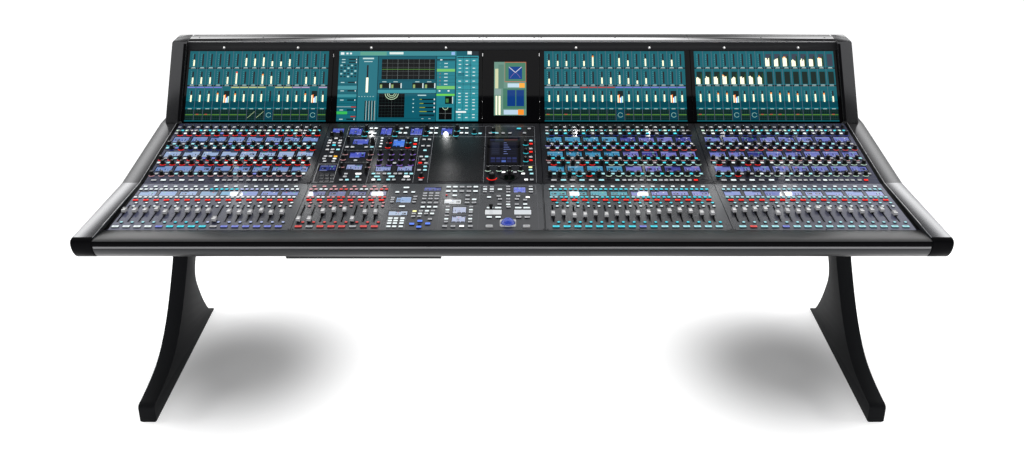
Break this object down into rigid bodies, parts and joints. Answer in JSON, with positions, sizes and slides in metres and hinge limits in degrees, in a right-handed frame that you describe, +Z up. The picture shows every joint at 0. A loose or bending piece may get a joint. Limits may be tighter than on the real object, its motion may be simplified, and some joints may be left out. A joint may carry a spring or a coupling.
{
  "type": "mixing console",
  "caption": "Large-format broadcast mixing console: sloped control surface with fader bays, a raised row of screens, armrest and two curved legs.",
  "frame": {"origin": "bottom centre of the overall box, on the floor between the two legs", "axes": "+X to the operator's right along the desk, +Y away from the operator, +Z up"},
  "size_m": [2.354, 1.139, 0.978],
  "materials": {
    "leg_black": "black satin powder coat on a cast plate",
    "case_black": "fine textured powder coat",
    "cheek_grey": "satin paint on a cast plate",
    "rail_silver": "brushed, clear anodised",
    "armrest_black": "fine grain, satin",
    "panel_grey": "fine textured satin paint",
    "insert_black": "semi gloss",
    "screen_face": "glossy, lit",
    "control_screen": "glossy, lit",
    "knob_black": "soft touch",
    "fader_cap": "satin with metallic top",
    "key_plastic": "translucent, lit from below",
    "trackball_blue": "polished",
    "circuit_board": "solder mask",
    "steel_plate": "zinc plated",
    "rubber_strip": "matt"
  },
  "bodies": {
    "desk": {"left_leg": "leg_black", "right_leg": "leg_black", "left_floor_strip": "rubber_strip", "right_floor_strip": "rubber_strip", "cross_beam": "case_black", "base_pan": "case_black", "armrest": "armrest_black", "front_rail": "case_black", "left_cheek": "cheek_grey", "right_cheek": "cheek_grey", "left_screen_cheek": "cheek_grey", "right_screen_cheek": "cheek_grey", "top_rail": "rail_silver", "rear_cover": "case_black", "connector_panel": "steel_plate", "display_1": "screen_face", "display_2": "screen_face", "display_small": "screen_face", "display_3": "screen_face", "display_4": "screen_face", "control_display": "control_screen", "channel_panel_1": "panel_grey", "channel_panel_2": "panel_grey", "channel_panel_3": "panel_grey", "channel_panel_4": "panel_grey", "fader_panel_1": "panel_grey", "fader_panel_2": "panel_grey", "fader_panel_3": "panel_grey", "fader_panel_4": "panel_grey", "insert_panel": "insert_black", "encoder_board_1": "circuit_board", "encoder_board_2": "circuit_board", "encoder_board_3": "circuit_board", "encoder_board_4": "circuit_board", "drawer_frame": "steel_plate", "power_supply": "steel_plate", "processor_board": "circuit_board"},
    "fader_bank_1_body": {"fader_bank_1": "fader_cap"},
    "fader_1_10_body": {"fader_1_10": "fader_cap"},
    "fader_bank_3_body": {"fader_bank_3": "fader_cap"},
    "fader_bank_4_body": {"fader_bank_4": "fader_cap"},
    "fader_2_1_body": {"fader_2_1": "fader_cap"},
    "fader_2_2_body": {"fader_2_2": "fader_cap"},
    "fader_2_3_body": {"fader_2_3": "fader_cap"},
    "fader_2_4_body": {"fader_2_4": "fader_cap"},
    "fader_2_5_body": {"fader_2_5": "fader_cap"},
    "fader_2_6_body": {"fader_2_6": "fader_cap"},
    "fader_2_7_body": {"fader_2_7": "fader_cap"},
    "fader_2_8_body": {"fader_2_8": "fader_cap"},
    "key_mat_1_body": {"key_mat_1": "key_plastic"},
    "key_mat_2_body": {"key_mat_2": "key_plastic"},
    "key_mat_3_body": {"key_mat_3": "key_plastic"},
    "key_mat_4_body": {"key_mat_4": "key_plastic"},
    "trackball_body": {"trackball": "trackball_blue"},
    "joystick_gimbal_body": {"joystick_gimbal": "steel_plate"},
    "joystick_body": {"joystick": "knob_black"},
    "trackball_left_key_body": {"trackball_left_key": "key_plastic"},
    "trackball_right_key_body": {"trackball_right_key": "key_plastic"},
    "monitor_knob_body": {"monitor_knob": "knob_black"},
    "keyboard_drawer_body": {"keyboard_drawer": "case_black"}
  },
  "joints": [
    {"name": "fader_bank_1_slide", "type": "slide", "parent": "desk", "child": "fader_bank_1_body", "axis": [0, 0.9999, 0.0122], "range_m": [-0.044, 0.031]},
    {"name": "fader_1_10_slide", "type": "slide", "parent": "desk", "child": "fader_1_10_body", "axis": [0, 0.9999, 0.0122], "range_m": [0, 0.1]},
    {"name": "fader_bank_3_slide", "type": "slide", "parent": "desk", "child": "fader_bank_3_body", "axis": [0, 0.9999, 0.0122], "range_m": [-0.025, 0.04]},
    {"name": "fader_bank_4_slide", "type": "slide", "parent": "desk", "child": "fader_bank_4_body", "axis": [0, 0.9999, 0.0122], "range_m": [-0.041, 0.025]},
    {"name": "fader_2_1_slide", "type": "slide", "parent": "desk", "child": "fader_2_1_body", "axis": [0, 0.9999, 0.0122], "range_m": [0, 0.1]},
    {"name": "fader_2_2_slide", "type": "slide", "parent": "desk", "child": "fader_2_2_body", "axis": [0, 0.9999, 0.0122], "range_m": [0, 0.1]},
    {"name": "fader_2_3_slide", "type": "slide", "parent": "desk", "child": "fader_2_3_body", "axis": [0, 0.9999, 0.0122], "range_m": [-0.055, 0.045]},
    {"name": "fader_2_4_slide", "type": "slide", "parent": "desk", "child": "fader_2_4_body", "axis": [0, 0.9999, 0.0122], "range_m": [-0.063, 0.037]},
    {"name": "fader_2_5_slide", "type": "slide", "parent": "desk", "child": "fader_2_5_body", "axis": [0, 0.9999, 0.0122], "range_m": [-0.065, 0.035]},
    {"name": "fader_2_6_slide", "type": "slide", "parent": "desk", "child": "fader_2_6_body", "axis": [0, 0.9999, 0.0122], "range_m": [0, 0.1]},
    {"name": "fader_2_7_slide", "type": "slide", "parent": "desk", "child": "fader_2_7_body", "axis": [0, 0.9999, 0.0122], "range_m": [-0.048, 0.052]},
    {"name": "fader_2_8_slide", "type": "slide", "parent": "desk", "child": "fader_2_8_body", "axis": [0, 0.9999, 0.0122], "range_m": [-0.049, 0.051]},
    {"name": "key_mat_1_press", "type": "slide", "parent": "desk", "child": "key_mat_1_body", "axis": [0, -0.0122, 0.9999], "range_m": [-0.001, 0], "stiffness_N_per_m": 20000, "springref_m": 0.001},
    {"name": "key_mat_2_press", "type": "slide", "parent": "desk", "child": "key_mat_2_body", "axis": [0, -0.0122, 0.9999], "range_m": [-0.001, 0], "stiffness_N_per_m": 20000, "springref_m": 0.001},
    {"name": "key_mat_3_press", "type": "slide", "parent": "desk", "child": "key_mat_3_body", "axis": [0, -0.0122, 0.9999], "range_m": [-0.001, 0], "stiffness_N_per_m": 20000, "springref_m": 0.001},
    {"name": "key_mat_4_press", "type": "slide", "parent": "desk", "child": "key_mat_4_body", "axis": [0, -0.0122, 0.9999], "range_m": [-0.001, 0], "stiffness_N_per_m": 20000, "springref_m": 0.001},
    {"name": "trackball_left_key_press", "type": "slide", "parent": "desk", "child": "trackball_left_key_body", "axis": [0, -0.0122, 0.9999], "range_m": [-0.001, 0], "stiffness_N_per_m": 600, "springref_m": 0.001},
    {"name": "trackball_right_key_press", "type": "slide", "parent": "desk", "child": "trackball_right_key_body", "axis": [0, -0.0122, 0.9999], "range_m": [-0.001, 0], "stiffness_N_per_m": 600, "springref_m": 0.001},
    {"name": "trackball_spin", "type": "hinge", "parent": "desk", "child": "trackball_body", "pos_m": [-0.0112, -0.42446, 0.69655], "axis": [1, 0, 0], "continuous": true},
    {"name": "joystick_tilt_forward", "type": "hinge", "parent": "desk", "child": "joystick_gimbal_body", "pos_m": [-0.0078, -0.10081, 0.69024], "axis": [1, 0, 0], "range_deg": [-25, 25], "stiffness_Nm_per_rad": 0.2},
    {"name": "joystick_tilt_sideways", "type": "hinge", "parent": "joystick_gimbal_body", "child": "joystick_body", "pos_m": [-0.0078, -0.10081, 0.69024], "axis": [0, 0.9944, 0.106], "range_deg": [-25, 25], "stiffness_Nm_per_rad": 0.2},
    {"name": "monitor_knob_turn", "type": "hinge", "parent": "desk", "child": "monitor_knob_body", "pos_m": [-0.0614, -0.1057, 0.70782], "axis": [0, -0.106, 0.9944], "continuous": true},
    {"name": "keyboard_drawer_slide", "type": "slide", "parent": "desk", "child": "keyboard_drawer_body", "axis": [0, -1, 0], "range_m": [0, 0.3]}
  ]
}
